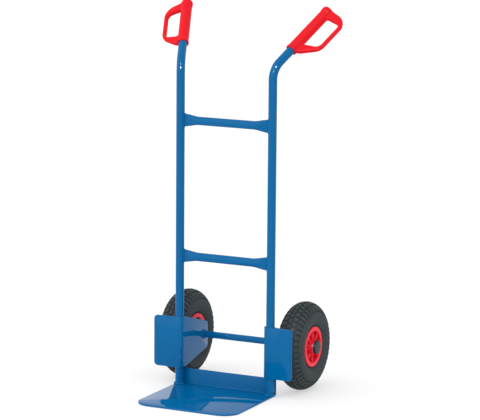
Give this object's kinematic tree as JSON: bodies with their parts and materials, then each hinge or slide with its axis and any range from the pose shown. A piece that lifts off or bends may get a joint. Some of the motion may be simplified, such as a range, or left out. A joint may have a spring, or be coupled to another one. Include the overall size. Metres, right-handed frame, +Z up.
{
  "type": "hand truck",
  "caption": "Upright sack truck: bent tube uprights with guarded grips, crossbars, toe plate, wheel brackets, solid axle and pneumatic wheels.",
  "frame": {"origin": "on the toe plate's underside at floor level, midway between the uprights, in their centre plane", "axes": "+Z up; -Y towards the load and the toe plate's front edge, +Y towards the person pushing; +X to the right seen from the load side"},
  "size_m": [0.5714, 0.5279, 1.1195],
  "materials": {
    "blue_powder_coat": "glossy powder coat",
    "grip_red": "fine grain",
    "rim_red": "moulded, half gloss",
    "tyre_rubber": "matt",
    "tube_rubber": "matt",
    "cap_grey": "satin",
    "zinc_steel": "zinc plated",
    "bearing_steel": "ground",
    "cage_plastic": "plain",
    "brass": "turned",
    "black_plastic": "plain"
  },
  "bodies": {
    "frame": {"left_upright": "blue_powder_coat", "right_upright": "blue_powder_coat", "upper_crossbar": "blue_powder_coat", "lower_crossbar": "blue_powder_coat", "left_wheel_bracket": "blue_powder_coat", "right_wheel_bracket": "blue_powder_coat", "toe_plate": "blue_powder_coat", "axle": "blue_powder_coat", "left_grip": "grip_red", "right_grip": "grip_red", "left_spacer": "zinc_steel", "right_spacer": "zinc_steel", "left_inner_washer": "zinc_steel", "right_inner_washer": "zinc_steel", "left_outer_washer": "zinc_steel", "right_outer_washer": "zinc_steel", "left_hub_cap": "cap_grey", "right_hub_cap": "cap_grey"},
    "left_wheel": {"left_tyre": "tyre_rubber", "left_inner_tube": "tube_rubber", "left_rim_outer_half": "rim_red", "left_rim_inner_half": "rim_red", "left_rim_bolts": "zinc_steel", "left_rim_nuts": "zinc_steel", "left_outer_cage": "cage_plastic", "left_outer_rollers": "bearing_steel", "left_inner_cage": "cage_plastic", "left_inner_rollers": "bearing_steel", "left_valve": "brass", "left_valve_cap": "black_plastic"},
    "right_wheel": {"right_tyre": "tyre_rubber", "right_inner_tube": "tube_rubber", "right_rim_outer_half": "rim_red", "right_rim_inner_half": "rim_red", "right_rim_bolts": "zinc_steel", "right_rim_nuts": "zinc_steel", "right_outer_cage": "cage_plastic", "right_outer_rollers": "bearing_steel", "right_inner_cage": "cage_plastic", "right_inner_rollers": "bearing_steel", "right_valve": "brass", "right_valve_cap": "black_plastic"}
  },
  "joints": [
    {"name": "left_wheel_spin", "type": "hinge", "parent": "frame", "child": "left_wheel", "pos_m": [-0.19195, 0.13, 0.13], "axis": [1, 0, 0], "continuous": true},
    {"name": "right_wheel_spin", "type": "hinge", "parent": "frame", "child": "right_wheel", "pos_m": [0.19195, 0.13, 0.13], "axis": [1, 0, 0], "continuous": true}
  ]
}
